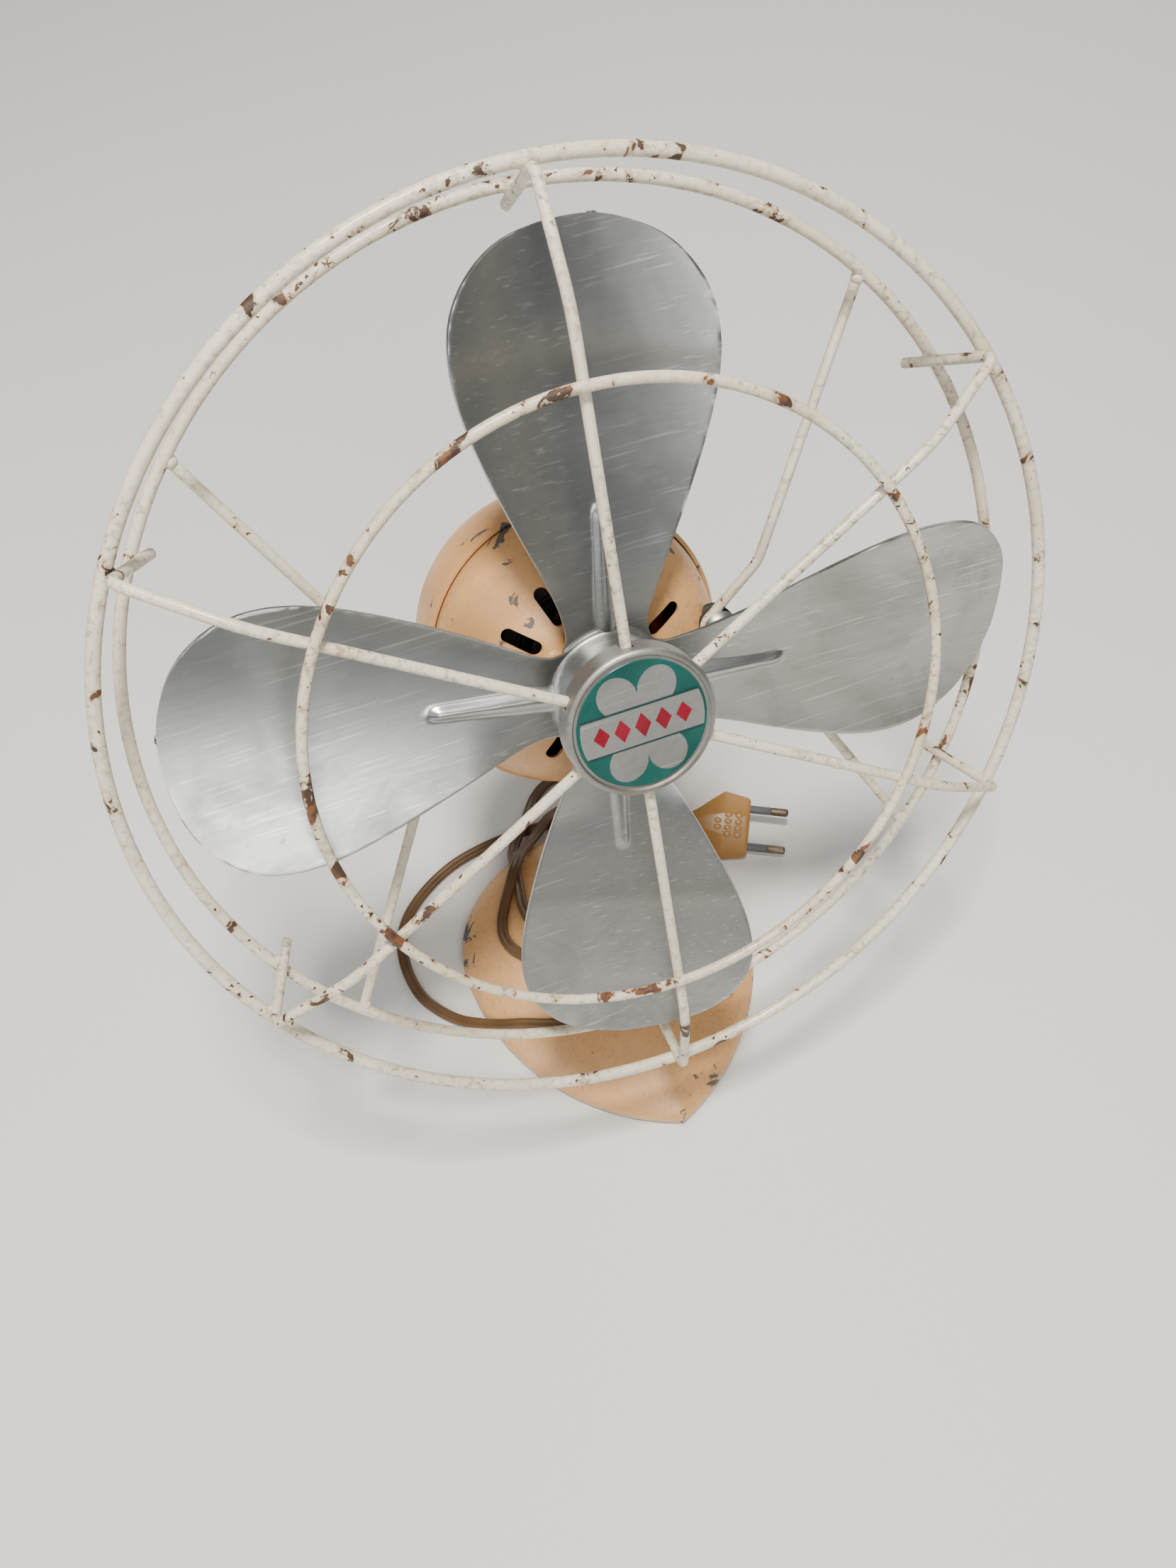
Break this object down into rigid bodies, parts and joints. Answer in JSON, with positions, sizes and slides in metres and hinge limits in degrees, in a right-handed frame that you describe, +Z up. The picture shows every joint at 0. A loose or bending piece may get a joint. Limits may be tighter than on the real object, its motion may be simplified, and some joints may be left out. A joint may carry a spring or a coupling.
{
  "type": "desk fan",
  "caption": "Small tilting desk fan with a welded wire guard and round badge, aluminium blades, a domed motor on a leaf-shaped pressed base, flat twin lead and two-pin plug.",
  "frame": {"origin": "centre of the flat underside of the base, half way between its front point and its back edge", "axes": "+Z up, the fan blows towards -Y, +X to the right as seen from the front"},
  "size_m": [0.3244, 0.1887, 0.3539],
  "materials": {
    "ochre_paint": "satin",
    "cream_paint": "satin",
    "steel": "satin",
    "zinc": "satin",
    "iron": "matte",
    "copper_wire": "satin",
    "bronze": "satin",
    "felt": "matte",
    "black_rubber": "matte",
    "knob_plastic": "satin",
    "blade_aluminium": "brushed",
    "badge_aluminium": "satin",
    "emblem": "gloss",
    "cord_sheath": "satin",
    "plug_plastic": "satin",
    "pin_sleeve": "matte",
    "pin_brass": "satin"
  },
  "bodies": {
    "base": {"base_shell": "ochre_paint", "base_plate": "steel", "felt_pad": "felt", "base_screws": "steel", "neck": "ochre_paint", "neck_screws": "steel", "cord_sleeve": "black_rubber", "tilt_bolt": "steel", "tilt_washers": "steel", "cord": "cord_sheath", "plug_body": "plug_plastic", "plug_sleeves": "pin_sleeve", "plug_pins": "pin_brass"},
    "head": {"motor_front_shell": "ochre_paint", "motor_rear_shell": "ochre_paint", "shell_screws": "steel", "motor_lug": "ochre_paint", "lug_rivets": "steel", "stator_core": "iron", "stator_coils": "copper_wire", "front_bearing": "bronze", "rear_bearing": "bronze", "bearing_plates": "steel", "bearing_rivets": "ochre_paint", "strut_bushes": "black_rubber", "strut_screws": "zinc", "strut_left": "cream_paint", "strut_right": "cream_paint", "front_ring": "cream_paint", "rear_ring": "cream_paint", "inner_ring": "cream_paint", "badge_cup": "badge_aluminium", "badge_back": "steel", "badge_emblem": "emblem", "spoke_1": "cream_paint", "spoke_2": "cream_paint", "spoke_3": "cream_paint", "spoke_4": "cream_paint", "spoke_5": "cream_paint", "spoke_6": "cream_paint"},
    "fan": {"rotor": "iron", "shaft": "steel", "shaft_collars": "bronze", "propeller": "blade_aluminium", "propeller_hub": "blade_aluminium", "hub_rivets": "blade_aluminium", "hub_set_screw": "steel"},
    "knob": {"tilt_knob": "knob_plastic"}
  },
  "joints": [
    {"name": "head_tilt", "type": "hinge", "parent": "base", "child": "head", "pos_m": [0, 0.025, 0.131], "axis": [-1, 0, 0], "range_deg": [-30, 15]},
    {"name": "fan_spin", "type": "hinge", "parent": "head", "child": "fan", "pos_m": [0, 0.05527, 0.18743], "axis": [0, -0.866, 0.5], "continuous": true},
    {"name": "knob_turn", "type": "hinge", "parent": "base", "child": "knob", "pos_m": [0.02, 0.025, 0.131], "axis": [1, 0, 0], "range_deg": [-360, 0]}
  ]
}
